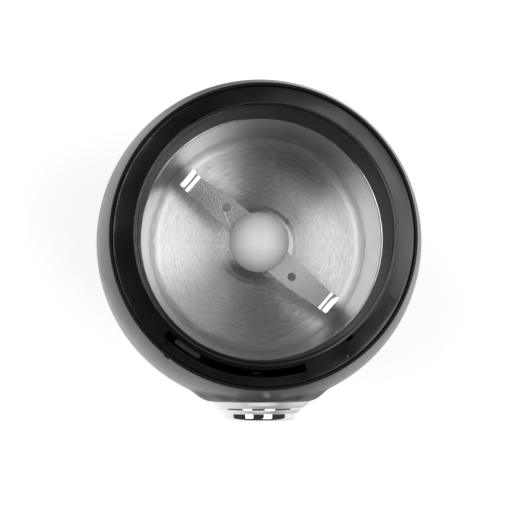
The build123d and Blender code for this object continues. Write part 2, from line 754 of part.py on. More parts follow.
with BuildPart() as lid_seat_ring:
    tube(neck_inner, neck_outer, gasket_top, neck_height)
    fillet(lid_seat_ring.edges().group_by(Axis.Z)[-1], neck_wall / 3)
    tube(neck_inner, seam_radius - slip_gap, ledge_bottom, ledge_thickness)
    rim_edges = lid_seat_ring.edges().filter_by(GeomType.CIRCLE).group_by(SortBy.RADIUS)[-1]
    chamfer(rim_edges.sort_by(Axis.Z)[-1], pad_depth)
    # Posts for the carrier screws
    with BuildSketch(Plane.XY.offset(carrier_top)):
        for angle in carrier_screw_angles:
            with Locations(polar(carrier_screw_circle, angle)):
                Circle(post_radius)
    extrude(amount=ledge_bottom - carrier_top)
    with BuildSketch(Plane.XY.offset(carrier_top)):
        for angle in carrier_screw_angles:
            with Locations(polar(carrier_screw_circle, angle)):
                Circle(carrier_screw_radius)
    extrude(amount=carrier_screw_length - ear_height, mode=Mode.SUBTRACT)
    for angle in lug_angles:
        # Bayonet lug on the outside of the neck, its pad on the ledge, and the hole beside it
        tube_sector(neck_outer - slip_gap, neck_outer + lug_reach, angle - lug_sweep_angle / 2,
                    lug_sweep_angle, lip_height - lug_drop - lug_height, lug_height)
        tube_sector(neck_outer, seam_radius, angle + pad_start_angle, pad_sweep_angle,
                    seam_height - pad_depth, pad_depth, Mode.SUBTRACT)
        relief_start_angle = angle + relief_offset_angle - relief_sweep_angle / 2
        tube_sector(neck_outer, neck_outer + relief_width, relief_start_angle, relief_sweep_angle,
                    ledge_bottom, ledge_thickness, Mode.SUBTRACT)
    # The long slot that the lid's tongue reaches through
    tube_sector(slot_inner, slot_outer, slot_start_angle, slot_sweep_angle, ledge_bottom,
                ledge_thickness, Mode.SUBTRACT)
write_part(lid_seat_ring.part, "lid_seat_ring")

# ---------------------------------------------------------------- blade and what holds it

with BuildPart() as blade_spacer:
    tube(shaft_radius, spacer_radius, spacer_bottom, blade_bottom - spacer_bottom)
write_part(blade_spacer.part, "blade_spacer")

with BuildPart() as blade:
    for turn in (0, 180):
        arm_plane = turned_plane(blade_turn_angle + turn, blade_bottom)
        with BuildSketch(arm_plane):
            Polygon(
                (0, blade_lead_root),
                (blade_root, blade_lead_root),
                (blade_shoulder, blade_lead_shoulder),
                (blade_bend_at, blade_lead_tip),
                (blade_bend_at, blade_trail_tip),
                (blade_root, blade_trail_root),
                (0, blade_trail_root),
                align=None,
            )
        extrude(amount=blade_thickness)
        # The tip, bent up
        side_plane = Plane(origin=arm_plane.origin, x_dir=arm_plane.x_dir, z_dir=arm_plane.y_dir)
        with BuildSketch(side_plane.offset(blade_lead_tip)):
            Polygon(
                (blade_bend_at - blade_thickness, 0),
                (blade_bend_at, 0),
                (blade_radius, -blade_tip_rise),
                (blade_radius - blade_thickness, -blade_tip_rise - blade_thickness / 2),
                (blade_bend_at - blade_thickness, -blade_thickness),
                align=None,
            )
        extrude(amount=blade_trail_tip - blade_lead_tip)
        with BuildSketch(arm_plane):
            with Locations((blade_hole_at, blade_hole_offset)):
                Circle(blade_hole_radius)
        extrude(amount=blade_thickness, mode=Mode.SUBTRACT)
    tube(0, blade_hub_radius, blade_bottom, blade_thickness)
    tube(0, thread_radius, blade_bottom, blade_thickness, Mode.SUBTRACT)
write_part(blade.part, "blade")

with BuildPart() as blade_washer:
    tube(thread_radius, washer_radius, blade_top, washer_thickness)
write_part(blade_washer.part, "blade_washer")

with BuildPart() as blade_nut:
    with BuildSketch(Plane.XY.offset(nut_bottom)):
        RegularPolygon(nut_across_flats / 2, 6, major_radius=False)
        Circle(thread_radius, mode=Mode.SUBTRACT)
    extrude(amount=nut_height)
write_part(blade_nut.part, "blade_nut")

with BuildPart() as blade_cap:
    with BuildSketch(Plane.XZ):
        with BuildLine():
            side = Line((cap_radius, blade_top), (cap_radius, blade_top + cap_side))
            dome = TangentArc(side @ 1, (0, cap_top), tangent=(0, 1))
            Polyline(dome @ 1, (0, cap_hollow_top), (thread_radius, cap_hollow_top),
                     (cap_hollow_radius, nut_top), (cap_hollow_radius, blade_top), side @ 0)
        make_face()
    revolve(axis=Axis.Z)
write_part(blade_cap.part, "blade_cap")

# ---------------------------------------------------------------- power button

with BuildPart() as button_bezel:
    with BuildSketch(Plane.XY.offset(button_height)):
        with BuildLine():
            flare = TangentArc(
                (bezel_spigot, -bezel_front), (bezel_radius, -bezel_seat - bezel_edge), tangent=(0, 1)
            )
            Polyline(flare @ 1, (bezel_radius, -bezel_seat), (bezel_spigot, -bezel_seat),
                     (bezel_spigot, -bezel_inner_end), (button_bore, -bezel_inner_end),
                     (button_bore, -bezel_front), flare @ 0)
        make_face()
    revolve(axis=button_axis)
write_part(button_bezel.part, "button_bezel")

with BuildPart() as bezel_clip:
    front_tube(bezel_spigot, clip_radius, clip_rear, clip_front)
write_part(bezel_clip.part, "bezel_clip")

with BuildPart() as power_button:
    front_tube(0, button_radius, collar_rear, button_front)
    fillet(power_button.edges().sort_by(Axis.Y)[0], button_round)
    front_tube(0, button_radius + button_collar_reach, collar_rear, collar_rear + button_collar)
    with BuildSketch(front_plane(collar_rear)):
        with Locations((0, -leg_reach)):
            Rectangle(leg_width, leg_reach - button_radius / 2, align=(Align.CENTER, Align.MIN))
    extrude(amount=button_collar)
    front_tube(0, button_radius - button_skin, collar_rear, button_spring_end, Mode.SUBTRACT)
    # The shallow dish that a fingertip rests in
    with BuildSketch(Plane.XY.offset(button_height)):
        with BuildLine():
            bowl = ThreePointArc(
                (0, button_dish - button_front),
                (dish_radius / 2, 3 * button_dish / 4 - button_front),
                (dish_radius, -button_front),
            )
            Polyline(bowl @ 1, (0, -button_front), bowl @ 0)
        make_face()
    revolve(axis=button_axis, mode=Mode.SUBTRACT)
write_part(power_button.part, "power_button")

with BuildPart() as button_spring:
    front_tube(button_spring_radius - spring_wire, button_spring_radius, spring_seat_front,
               button_spring_end)
write_part(button_spring.part, "button_spring")

with BuildPart() as power_switch:
    with BuildSketch(Plane.XY.offset(carrier_bottom)):
        with Locations((0, -switch_front)):
            Rectangle(switch_width, switch_depth, align=(Align.CENTER, Align.MIN))
    extrude(amount=-switch_height)
    plunger_hole = Plane(origin=(0, -switch_front, switch_plunger_height), x_dir=(1, 0, 0), z_dir=(0, 1, 0))
    with BuildSketch(plunger_hole):
        Circle(switch_plunger_radius + switch_plunger_gap)
    extrude(amount=switch_plunger_root + switch_follow * button_stroke + guide_gap, mode=Mode.SUBTRACT)
write_part(power_switch.part, "power_switch")

with BuildPart() as switch_plunger:
    plunger_root = Plane(
        origin=(0, switch_plunger_root - switch_front, switch_plunger_height),
        x_dir=(1, 0, 0),
        z_dir=(0, -1, 0),
    )
    with BuildSketch(plunger_root):
        Circle(switch_plunger_radius)
    extrude(amount=switch_plunger_root + switch_plunger_reach)
    fillet(switch_plunger.edges().sort_by(Axis.Y)[0], switch_plunger_radius / 2)
write_part(switch_plunger.part, "switch_plunger")

# ---------------------------------------------------------------- lid interlock

with BuildPart() as interlock_plunger:
    tube_sector(interlock_inner, interlock_outer, interlock_start, interlock_sweep_angle, interlock_bottom,
                interlock_length)
write_part(interlock_plunger.part, "interlock_plunger")

with BuildPart() as interlock_spring:
    with BuildSketch(turned_plane(interlock_angle, interlock_seat)):
        with Locations((interlock_inner + interlock_spring_radius, 0)):
            Circle(interlock_spring_radius)
            Circle(interlock_spring_radius - spring_wire, mode=Mode.SUBTRACT)
    extrude(amount=interlock_spring_length)
write_part(interlock_spring.part, "interlock_spring")

# ---------------------------------------------------------------- electrical parts on the base plate

with BuildPart() as capacitor:
    with Locations(Location((*capacitor_place, step_top))):
        Box(*capacitor_size, align=(Align.CENTER, Align.CENTER, Align.MIN))
    fillet(capacitor.edges().group_by(Axis.Z)[-1], capacitor_round)
write_part(capacitor.part, "capacitor")

with BuildPart() as terminal_block:
    with Locations(Location((*terminal_place, step_top))):
        Box(*terminal_size, align=(Align.CENTER, Align.CENTER, Align.MIN))
    with Locations(Location((*terminal_place, step_top + terminal_size[2]))):
        with GridLocations(terminal_size[0] / 2, 0, 2, 1):
            Hole(terminal_hole_radius, depth=terminal_size[2] / 2)
write_part(terminal_block.part, "terminal_block")
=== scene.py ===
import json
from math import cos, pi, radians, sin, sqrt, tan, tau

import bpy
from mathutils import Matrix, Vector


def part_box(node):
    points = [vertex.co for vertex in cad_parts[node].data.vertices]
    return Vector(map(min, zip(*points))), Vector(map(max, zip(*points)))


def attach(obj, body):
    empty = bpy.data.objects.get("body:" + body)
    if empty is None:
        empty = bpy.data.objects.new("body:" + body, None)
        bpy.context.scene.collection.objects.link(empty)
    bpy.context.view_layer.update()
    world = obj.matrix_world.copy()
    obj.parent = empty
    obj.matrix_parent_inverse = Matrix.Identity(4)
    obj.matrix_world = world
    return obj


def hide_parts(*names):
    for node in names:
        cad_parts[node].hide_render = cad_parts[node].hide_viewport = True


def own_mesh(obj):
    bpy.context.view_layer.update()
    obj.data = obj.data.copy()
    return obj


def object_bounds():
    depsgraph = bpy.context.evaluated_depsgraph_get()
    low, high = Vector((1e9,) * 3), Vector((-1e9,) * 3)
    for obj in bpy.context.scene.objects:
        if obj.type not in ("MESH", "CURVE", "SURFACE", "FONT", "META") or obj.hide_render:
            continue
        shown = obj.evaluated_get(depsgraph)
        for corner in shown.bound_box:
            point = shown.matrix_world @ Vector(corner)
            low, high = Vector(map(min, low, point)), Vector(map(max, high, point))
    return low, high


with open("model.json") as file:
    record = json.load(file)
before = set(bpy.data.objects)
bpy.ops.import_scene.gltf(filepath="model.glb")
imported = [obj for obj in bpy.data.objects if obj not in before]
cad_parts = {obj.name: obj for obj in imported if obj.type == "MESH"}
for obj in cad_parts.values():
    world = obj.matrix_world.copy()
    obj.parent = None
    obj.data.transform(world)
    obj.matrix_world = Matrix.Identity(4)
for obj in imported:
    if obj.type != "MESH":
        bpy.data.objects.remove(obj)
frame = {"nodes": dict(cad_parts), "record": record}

# %% [markdown]
# # A spice grinder with its lid off
# The frame holds every solid of the grinder in metres: the motor, the button, the cup and the rest.
# It fixes the sizes and the way the pieces move. This lesson gives the grinder its looks. The pieces
# that are seen get soft edges and smooth turned forms, and every piece gets the finish of its material.

MM = 0.001
X, Y, Z = range(3)
cad_low, cad_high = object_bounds()
print("frame size in mm:", [round((b - a) / MM, 2) for a, b in zip(cad_low, cad_high)])


def in_mm(corners):
    """Corners of a box in mm, to the nearest micrometre."""
    return [[round(value / MM, 3) for value in corner] for corner in corners]


def node_box(name):
    """The lowest and the highest corner of one of the frame's solids, in mm."""
    return in_mm(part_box(name))


low_reach, high_reach = in_mm((cad_low, cad_high))
cup_sheet = 0.6
cup_low, cup_high = node_box("grinding_cup")
cup_floor = cup_low[Z] + cup_sheet
print("cup floor at", round(cup_floor, 2), "mm")

# %% [markdown]
# ## The camera
# The grinder is looked at from above, a little from the left and the front. The lens is a long one, so
# that the deep cup keeps its shape. Blender builds the turn of a camera from three directions: back,
# towards the viewer, then up, then right.

# %% Place the camera
aim = Vector((-0.5, -3.65, cup_floor)) * MM
camera_distance = 450 * MM
lean_left = sin(radians(2.64))
lean_front = sin(radians(3.05))
back = Vector((-lean_left, -lean_front, sqrt(1 - lean_left**2 - lean_front**2)))
up = (Vector((0, 1, 0)) - back * back.y).normalized()
right = up.cross(back)

bpy.ops.object.camera_add(location=aim + back * camera_distance)
camera = bpy.context.object
camera.name = "camera"
camera.rotation_mode = "QUATERNION"
turn = camera.matrix_world.to_3x3()
turn.col[0], turn.col[1], turn.col[2] = right, up, back
camera.rotation_quaternion = turn.to_quaternion()
camera.data.lens = 102.6
camera.data.sensor_width = 36
bpy.context.scene.camera = camera
print("camera height in mm:", round(camera.location.z / MM, 1))

# %% [markdown]
# ## Steps that the materials share
# A material is a tree of small nodes. A few short functions add a node, join two nodes and set up the
# Principled shader, so that each finish below only says what is special about it. A real surface is never
# one flat colour: a slow noise makes some patches a little duller, and a fine bump breaks the highlights.
# The noise reads Object coordinates, so that the pattern sits still on a piece that moves.

# %% Shared steps of a material
NOISE_LOW, NOISE_HIGH = 0.3, 0.7


def new_finish(name, colour, metallic, roughness):
    """A material with its Principled shader set, ready for detail."""
    finish = bpy.data.materials.new(name)
    finish.use_nodes = True
    shader = finish.node_tree.nodes["Principled BSDF"]
    shader.inputs["Base Color"].default_value = (*colour, 1)
    shader.inputs["Metallic"].default_value = metallic
    shader.inputs["Roughness"].default_value = roughness
    return finish, shader


def add_node(finish, kind, **settings):
    """A new node with some of its settings."""
    node = finish.node_tree.nodes.new(kind)
    for key, value in settings.items():
        setattr(node, key, value)
    return node


def join_nodes(finish, start, end):
    """One link from an output to an input."""
    finish.node_tree.links.new(start, end)


def calculate(finish, operation, *values):
    """A sum or the like, of numbers and of other nodes' outputs."""
    node = add_node(finish, "ShaderNodeMath", operation=operation)
    for socket, value in zip(node.inputs, values):
        if isinstance(value, (int, float)):
            socket.default_value = value
        else:
            join_nodes(finish, value, socket)
    return node.outputs[0]


def vector_step(finish, operation, place, output="Vector"):
    """One step of vector arithmetic on a place."""
    node = add_node(finish, "ShaderNodeVectorMath", operation=operation)
    join_nodes(finish, place, node.inputs[0])
    return node.outputs[output]


def ramp(finish, value, start, end, low=0.0, high=1.0, kind="LINEAR"):
    """Move a value from one range to another, and hold it at the ends."""
    node = add_node(finish, "ShaderNodeMapRange", interpolation_type=kind)
    node.inputs["From Min"].default_value = start
    node.inputs["From Max"].default_value = end
    node.inputs["To Min"].default_value = low
    node.inputs["To Max"].default_value = high
    join_nodes(finish, value, node.inputs["Value"])
    return node.outputs["Result"]


def piece_place(finish):
    """Where a point lies on the piece, in metres."""
    return add_node(finish, "ShaderNodeTexCoord").outputs["Object"]


def place_round_axis(finish):
    """A point's place without its height, its distance from the Z axis, and its height."""
    split = add_node(finish, "ShaderNodeSeparateXYZ")
    join_nodes(finish, piece_place(finish), split.inputs[0])
    flat = add_node(finish, "ShaderNodeCombineXYZ")
    join_nodes(finish, split.outputs["X"], flat.inputs["X"])
    join_nodes(finish, split.outputs["Y"], flat.inputs["Y"])
    flat_place = flat.outputs[0]
    return flat_place, vector_step(finish, "LENGTH", flat_place, "Value"), split.outputs["Z"]


def noise(finish, place, per_mm, detail=3.0):
    """Noise with so many waves in each millimetre."""
    pattern = add_node(finish, "ShaderNodeTexNoise")
    pattern.inputs["Scale"].default_value = per_mm / MM
    pattern.inputs["Detail"].default_value = detail
    join_nodes(finish, place, pattern.inputs["Vector"])
    return pattern.outputs["Fac"]


def span(finish, value, low, high):
    """Spread the middle of a noise over a range."""
    return ramp(finish, value, NOISE_LOW, NOISE_HIGH, low, high)


def tint(finish, shader, value, colour, darker, lighter):
    """Vary a colour by a pattern, between two strengths."""
    node = add_node(finish, "ShaderNodeMix", data_type="RGBA")
    node.inputs[6].default_value = (*[c * darker for c in colour], 1)
    node.inputs[7].default_value = (*[min(1, c * lighter) for c in colour], 1)
    join_nodes(finish, value, node.inputs[0])
    join_nodes(finish, node.outputs[2], shader.inputs["Base Color"])


def relief(finish, shader, value, depth_mm, strength):
    """Turn a pattern into a bump of a depth in millimetres."""
    node = add_node(finish, "ShaderNodeBump")
    node.inputs["Strength"].default_value = strength
    node.inputs["Distance"].default_value = depth_mm * MM
    join_nodes(finish, value, node.inputs["Height"])
    join_nodes(finish, node.outputs["Normal"], shader.inputs["Normal"])


print("a noise is spread from", NOISE_LOW, "to", NOISE_HIGH)

# %% [markdown]
# ## Floor and light
# A plain pale floor carries the grinder's soft shadow. Two large softboxes hang high on its left and
# right, and a small one behind, with a wide gap at the front. Brushed steel only looks brushed when it
# mirrors something bright beside something dark: the cup's floor then shows bright fans and dark ones.
# Right overhead stays dim, which keeps the black ring black. The gloss body mirrors the floor around it.
# That floor glows for mirrors on the left, on the right and far away, and stays dim close to the front
# and the rear, so that the body's sides get a bright rim. For the camera the whole floor is plain white.

# %% Floor, softboxes and room
scene = bpy.context.scene
scene.view_settings.view_transform = "Standard"

floor_size = 8.0
floor_grey = 0.72
seen_glow = 0.65
mirrored_glow = 0.68
near_floor, far_floor = 0.25, 0.70
bright_heading = radians(10)
dim_share, bright_share = 0.05, 0.60

bpy.ops.mesh.primitive_plane_add(size=floor_size, location=(0, 0, 0))
floor = bpy.context.object
floor.name = "floor"

floor_paint, floor_shader = new_finish("pale_floor", (floor_grey, floor_grey, floor_grey), 0, 0.7)
floor_shader.inputs["Emission Color"].default_value = (1, 1, 1, 1)
floor_place = piece_place(floor_paint)
far_away = ramp(floor_paint, vector_step(floor_paint, "LENGTH", floor_place, "Value"),
                near_floor, far_floor, kind="SMOOTHSTEP")
across = add_node(floor_paint, "ShaderNodeVectorMath", operation="DOT_PRODUCT")
across.inputs[1].default_value = (cos(bright_heading), sin(bright_heading), 0)
join_nodes(floor_paint, vector_step(floor_paint, "NORMALIZE", floor_place), across.inputs[0])
beside = ramp(floor_paint, calculate(floor_paint, "ABSOLUTE", across.outputs["Value"]),
              dim_share, bright_share, kind="SMOOTHSTEP")
brighter = calculate(floor_paint, "MAXIMUM", far_away, beside)
glow = calculate(floor_paint, "MULTIPLY", brighter, mirrored_glow)
seen_by = add_node(floor_paint, "ShaderNodeLightPath")
mirrored = calculate(floor_paint, "MULTIPLY", seen_by.outputs["Is Glossy Ray"], glow)
lift = calculate(floor_paint, "MULTIPLY_ADD", seen_by.outputs["Is Camera Ray"], seen_glow, mirrored)
join_nodes(floor_paint, lift, floor_shader.inputs["Emission Strength"])
floor.data.materials.append(floor_paint)

lamp_target = Vector((0, 0, 0.09))


def softbox(name, heading, reach, height, width, depth, power):
    """A rectangular lamp in a compass direction, in degrees from +X. It faces the grinder."""
    place = Vector((reach * cos(radians(heading)), reach * sin(radians(heading)), height))
    bpy.ops.object.light_add(type="AREA", location=place)
    lamp = bpy.context.object
    lamp.name = name
    lamp.data.shape = "RECTANGLE"
    lamp.data.size = width
    lamp.data.size_y = depth
    lamp.data.energy = power
    lamp.rotation_euler = (lamp_target - place).to_track_quat("-Z", "Y").to_euler()


softbox("softbox_left", heading=163, reach=0.46, height=0.90, width=0.80, depth=0.42, power=4.0)
softbox("softbox_right", heading=343, reach=0.46, height=0.90, width=0.85, depth=0.42, power=4.2)
softbox("softbox_back", heading=32, reach=0.225, height=0.96, width=0.26, depth=0.12, power=0.36)

room_grey = 0.05
room = bpy.data.worlds.new("room")
scene.world = room
room.use_nodes = True
room.node_tree.nodes.clear()
room_out = add_node(room, "ShaderNodeOutputWorld")
room_light = add_node(room, "ShaderNodeBackground")
room_light.inputs["Color"].default_value = (room_grey, room_grey, room_grey, 1)
room_white = add_node(room, "ShaderNodeBackground")
room_white.inputs["Color"].default_value = (1, 1, 1, 1)
room_mix = add_node(room, "ShaderNodeMixShader")
join_nodes(room, add_node(room, "ShaderNodeLightPath").outputs["Is Camera Ray"], room_mix.inputs[0])
join_nodes(room, room_light.outputs[0], room_mix.inputs[1])
join_nodes(room, room_white.outputs[0], room_mix.inputs[2])
join_nodes(room, room_mix.outputs[0], room_out.inputs[0])

# %% [markdown]
# ## Finishes
# ### Moulded plastic and rubber
# Gloss plastic comes from a polished mould: a faint waviness, like orange peel, and small dull patches
# where hands have been. Matte plastic comes from a spark-eroded mould with a fine even grain. Rubber is
# matte too, a little softer in its grain. The inside of the ring's neck isn't polished, so that it stays
# dark. The milky cap lets light in a few millimetres deep.

# %% Plastics and rubber
relief_strength = 0.5


def moulded(name, colour, low, high, patches, grain, depth):
    """Plastic or rubber: its roughness range, the waves of its dull patches and of its grain in each
    millimetre, and the depth of the grain in mm."""
    finish, shader = new_finish(name, colour, 0, (low + high) / 2)
    place = piece_place(finish)
    slow = noise(finish, place, patches, 4.0)
    join_nodes(finish, span(finish, slow, low, high), shader.inputs["Roughness"])
    tint(finish, shader, slow, colour, 0.9, 1.12)
    relief(finish, shader, noise(finish, place, grain), depth, relief_strength)
    return finish


def dull_inside(finish, radius, extra):
    """Make a finish rougher where it lies nearer to the Z axis than a radius in mm."""
    roughness = finish.node_tree.nodes["Principled BSDF"].inputs["Roughness"]
    polish = roughness.links[0].from_socket
    distance = place_round_axis(finish)[1]
    inside = calculate(finish, "LESS_THAN", distance, radius * MM)
    join_nodes(finish, calculate(finish, "MULTIPLY_ADD", inside, extra, polish), roughness)


body_gloss = moulded("body_gloss", (0.014, 0.014, 0.016), 0.21, 0.29, 0.05, 0.4, 0.004)
body_gloss.node_tree.nodes["Principled BSDF"].inputs["Specular IOR Level"].default_value = 0.09
ring_gloss = moulded("ring_gloss", (0.005, 0.005, 0.006), 0.14, 0.22, 0.08, 0.5, 0.004)
dull_inside(ring_gloss, radius=35.1, extra=0.4)
base_matte = moulded("base_matte", (0.030, 0.030, 0.032), 0.45, 0.60, 0.10, 5.0, 0.02)
foot_rubber = moulded("foot_rubber", (0.022, 0.022, 0.023), 0.70, 0.85, 0.15, 3.0, 0.03)
seal_rubber = moulded("seal_rubber", (0.020, 0.020, 0.021), 0.50, 0.65, 0.20, 4.0, 0.02)
carrier_plastic = moulded("carrier_plastic", (0.010, 0.010, 0.011), 0.60, 0.75, 0.10, 4.0, 0.02)
switch_plastic = moulded("switch_plastic", (0.160, 0.160, 0.170), 0.40, 0.55, 0.20, 4.0, 0.02)
carbon_block = moulded("carbon_block", (0.050, 0.050, 0.052), 0.55, 0.75, 1.0, 8.0, 0.02)

cap_white = moulded("cap_white", (0.88, 0.88, 0.87), 0.42, 0.50, 0.2, 2.0, 0.003)
cap_shader = cap_white.node_tree.nodes["Principled BSDF"]
cap_shader.inputs["Subsurface Weight"].default_value = 1.0
cap_shader.inputs["Subsurface Radius"].default_value = (1.0, 1.0, 1.0)
cap_shader.inputs["Subsurface Scale"].default_value = 8 * MM
print("steps in the cap's finish:", len(cap_white.node_tree.nodes))

# %% [markdown]
# ### Steel brushed in circles
# The cup is spun on a lathe and brushed while it turns, so its scratches run round the axis. They are
# short arcs, not whole rings. Noise over the radius and, slowly, over the direction gives such arcs. The
# shader's anisotropy, with a tangent that runs round Z, spreads each highlight across the scratches. Up
# the wall the brushing is finer, so that the wall mirrors the floor and the blade's tips.

# %% Spun steel
quarter_turn = 0.25
wall_start, wall_end = cup_floor + 1.0, cup_floor + 5.0
wall_polish = -0.26


def brushed_round(name, colour, roughness, lines_per_mm, arc, anisotropy):
    """Metal with scratches that run round the Z axis."""
    finish, shader = new_finish(name, colour, 1, roughness)
    flat_place, distance, height = place_round_axis(finish)
    along = add_node(finish, "ShaderNodeVectorMath", operation="SCALE")
    along.inputs["Scale"].default_value = arc
    join_nodes(finish, vector_step(finish, "NORMALIZE", flat_place), along.inputs[0])
    climb = calculate(finish, "ADD", distance, height)
    across = add_node(finish, "ShaderNodeCombineXYZ")
    join_nodes(finish, calculate(finish, "MULTIPLY", climb, lines_per_mm / MM), across.inputs["Z"])
    meet = add_node(finish, "ShaderNodeVectorMath", operation="ADD")
    join_nodes(finish, along.outputs[0], meet.inputs[0])
    join_nodes(finish, across.outputs[0], meet.inputs[1])
    scratches = add_node(finish, "ShaderNodeTexNoise")
    scratches.inputs["Scale"].default_value = 1.0
    scratches.inputs["Detail"].default_value = 3.0
    scratches.inputs["Roughness"].default_value = 0.6
    join_nodes(finish, meet.outputs[0], scratches.inputs["Vector"])
    lines = scratches.outputs["Fac"]
    rough = span(finish, lines, roughness - 0.06, roughness + 0.08)
    finer = ramp(finish, height, wall_start * MM, wall_end * MM, 0, wall_polish, kind="SMOOTHSTEP")
    join_nodes(finish, calculate(finish, "ADD", rough, finer), shader.inputs["Roughness"])
    tint(finish, shader, span(finish, lines, 0, 1), colour, 0.70, 1.16)
    relief(finish, shader, lines, 0.012, 0.35)
    shader.inputs["Anisotropic"].default_value = anisotropy
    shader.inputs["Anisotropic Rotation"].default_value = quarter_turn
    tangent = add_node(finish, "ShaderNodeTangent", direction_type="RADIAL", axis="Z")
    join_nodes(finish, tangent.outputs[0], shader.inputs["Tangent"])
    return finish


cup_steel = brushed_round("cup_steel", (0.76, 0.76, 0.75), roughness=0.38, lines_per_mm=3.0, arc=9.0,
                          anisotropy=0.98)
print("wall finish from", round(wall_start, 1), "to", round(wall_end, 1), "mm")

# %% [markdown]
# ### The other metals
# The blade is stamped from satin sheet, the screws and the shaft are zinc-plated, the springs are drawn
# wire. The button and its bezel are chrome plate, nearly a mirror. Stacked steel sheets show as thin
# bands, and the windings as rows of enamelled wire.

# %% Metals
waves_per_scale = 10


def plain_metal(name, colour, low, high, patches, grain, depth):
    """Metal with cloudy patches and a fine grain. Its numbers mean what they mean for plastic."""
    finish, shader = new_finish(name, colour, 1, (low + high) / 2)
    place = piece_place(finish)
    slow = noise(finish, place, patches, 1.5)
    join_nodes(finish, span(finish, slow, low, high), shader.inputs["Roughness"])
    tint(finish, shader, span(finish, slow, 0, 1), colour, 0.88, 1.08)
    relief(finish, shader, noise(finish, place, grain), depth, relief_strength)
    return finish


def banded(name, colour, roughness, band_mm, axis, depth):
    """Metal in thin bands: stacked sheets or rows of wire."""
    finish, shader = new_finish(name, colour, 1, roughness)
    place = piece_place(finish)
    bands = add_node(finish, "ShaderNodeTexWave", wave_type="BANDS", bands_direction=axis)
    bands.inputs["Scale"].default_value = pi / (waves_per_scale * band_mm * MM)
    bands.inputs["Distortion"].default_value = 0.4
    bands.inputs["Detail Scale"].default_value = 2.0
    join_nodes(finish, place, bands.inputs["Vector"])
    tint(finish, shader, bands.outputs["Fac"], colour, 0.55, 1.15)
    slow = noise(finish, place, 0.3)
    join_nodes(finish, span(finish, slow, roughness - 0.06, roughness + 0.10), shader.inputs["Roughness"])
    relief(finish, shader, bands.outputs["Fac"], depth, 0.7)
    return finish


blade_steel = plain_metal("blade_steel", (0.58, 0.58, 0.58), 0.25, 0.28, 0.06, 2.5, 0.0003)
zinc_steel = plain_metal("zinc_steel", (0.55, 0.55, 0.57), 0.26, 0.42, 0.30, 3.0, 0.01)
spring_steel = plain_metal("spring_steel", (0.45, 0.45, 0.46), 0.24, 0.36, 0.50, 6.0, 0.005)
bronze_bush = plain_metal("bronze_bush", (0.62, 0.44, 0.22), 0.34, 0.50, 0.60, 8.0, 0.02)
chrome_trim = plain_metal("chrome_trim", (0.74, 0.74, 0.77), 0.03, 0.07, 0.08, 0.3, 0.002)
lamination_steel = banded("lamination_steel", (0.30, 0.30, 0.31), 0.42, 0.5, "Z", 0.03)
copper_winding = banded("copper_winding", (0.72, 0.34, 0.16), 0.32, 0.4, "DIAGONAL", 0.08)
print("finishes:", len(bpy.data.materials))

# %% [markdown]
# ### Who wears what
# The frame's nodes already have a material slot each, named like the finishes. The nodes that stay as
# they are get their finish there. Their meshes aren't touched.

# %% Dress the frame's nodes
finishes = {
    "body_gloss": body_gloss, "ring_gloss": ring_gloss, "base_matte": base_matte,
    "foot_rubber": foot_rubber, "seal_rubber": seal_rubber, "carrier_plastic": carrier_plastic,
    "switch_plastic": switch_plastic, "carbon_block": carbon_block, "cap_white": cap_white,
    "cup_steel": cup_steel, "blade_steel": blade_steel, "zinc_steel": zinc_steel,
    "spring_steel": spring_steel, "bronze_bush": bronze_bush, "chrome_trim": chrome_trim,
    "lamination_steel": lamination_steel, "copper_winding": copper_winding,
}
slot_of = {row["node"]: row["material_slot"] for row in frame["record"]["subparts"]}


def dress(obj, finish):
    """Give every face of a piece one finish."""
    obj.data.materials.clear()
    obj.data.materials.append(finish)


for name, node in frame["nodes"].items():
    dress(node, finishes[slot_of[name]])
print("dressed", len(slot_of), "nodes")

# %% [markdown]
# ## Turned pieces
# Most of this grinder is round. Such a piece is drawn as half a section, like a turner's template, and
# spun once round its axis. The section starts as a small plane, merged to one point, and that point is
# pulled from corner to corner. Corners are rounded before the spin, so that every edge catches light.

# %% Helpers for turned pieces
ARC_STEPS = 5
MERGE_DISTANCE = 0.002 * MM
TINY_EDGE = 0.001 * MM
SAME_PLANE = radians(0.5)


def rounded(corners, closed=True):
    """Points of a section whose corners (a, b, radius) are rounded."""
    count = len(corners)
    points = []
    for i, (a, b, radius) in enumerate(corners):
        here = Vector((a, b))
        if radius == 0 or (not closed and i in (0, count - 1)):
            points.append(here)
            continue
        to_last = (Vector(corners[i - 1][:2]) - here).normalized()
        to_next = (Vector(corners[(i + 1) % count][:2]) - here).normalized()
        half = to_last.angle(to_next) / 2
        middle = here + (to_last + to_next).normalized() * radius / sin(half)
        start = here + to_last * radius / tan(half) - middle
        end = here + to_next * radius / tan(half) - middle
        for k in range(ARC_STEPS + 1):
            points.append(middle + start.lerp(end, k / ARC_STEPS).normalized() * radius)
    return points


def choose(obj):
    """Make one piece the only selected object, and the active one."""
    if bpy.context.object and bpy.context.object.mode != "OBJECT":
        bpy.ops.object.mode_set(mode="OBJECT")
    bpy.ops.object.select_all(action="DESELECT")
    obj.select_set(True)
    bpy.context.view_layer.objects.active = obj


def edit(obj, mode="VERT"):
    """Go into edit mode on one piece, with nothing selected."""
    choose(obj)
    bpy.ops.object.mode_set(mode="EDIT")
    bpy.ops.mesh.select_mode(type=mode)
    bpy.ops.mesh.select_all(action="DESELECT")


def pick_points(obj, test):
    """Go into edit mode with only those points selected that pass a test."""
    edit(obj)
    bpy.ops.object.mode_set(mode="OBJECT")
    for point in obj.data.vertices:
        point.select = test(point.co)
    bpy.ops.object.mode_set(mode="EDIT")


def name_piece(name):
    """Name the new object and put its place, turn and size into its mesh."""
    obj = bpy.context.object
    obj.name = name
    obj.data.name = name
    bpy.ops.object.transform_apply(location=True, rotation=True, scale=True)
    return obj


